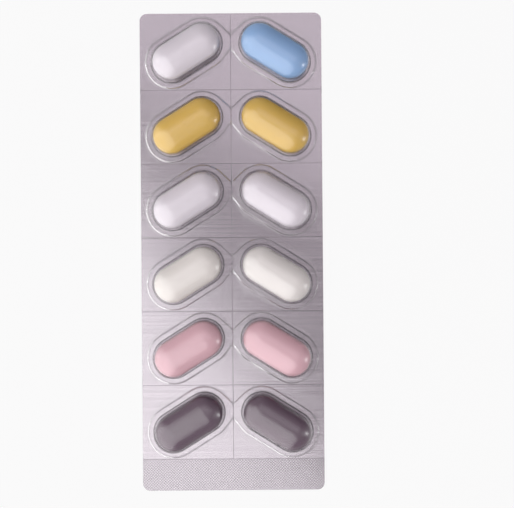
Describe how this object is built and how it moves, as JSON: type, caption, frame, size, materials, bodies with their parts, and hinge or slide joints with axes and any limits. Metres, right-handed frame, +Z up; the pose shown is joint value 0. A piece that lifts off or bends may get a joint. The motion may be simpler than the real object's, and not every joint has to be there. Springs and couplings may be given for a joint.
{
  "type": "capsule blister pack",
  "caption": "Flat card of clear formed film sealed to foil, with an oblong capsule in every slanting pocket and scores to tear along.",
  "frame": {"origin": "middle of the card on the foil's underside", "axes": "+X across the card, +Y along it away from the ribbed end tab, +Z up through the pockets"},
  "size_m": [0.0504, 0.1324, 0.0074],
  "materials": {
    "clear_film": "clear, glossy",
    "lidding_foil": "satin, faintly lilac",
    "capsule_lilac": "smooth, pearly lilac white",
    "capsule_blue": "smooth, mid blue",
    "capsule_yellow": "smooth, golden yellow",
    "capsule_ivory": "smooth, warm ivory",
    "capsule_white": "smooth, white",
    "capsule_pink": "smooth, dusty pink",
    "capsule_charcoal": "smooth, charcoal"
  },
  "bodies": {
    "root": {"blister_film": "clear_film", "lidding_foil": "lidding_foil", "capsule_row1_left": "capsule_lilac", "capsule_row1_right": "capsule_blue", "capsule_row2_left": "capsule_yellow", "capsule_row2_right": "capsule_yellow", "capsule_row3_left": "capsule_lilac", "capsule_row3_right": "capsule_lilac", "capsule_row4_left": "capsule_ivory", "capsule_row4_right": "capsule_white", "capsule_row5_left": "capsule_pink", "capsule_row5_right": "capsule_pink", "capsule_row6_left": "capsule_charcoal", "capsule_row6_right": "capsule_charcoal"}
  },
  "joints": []
}
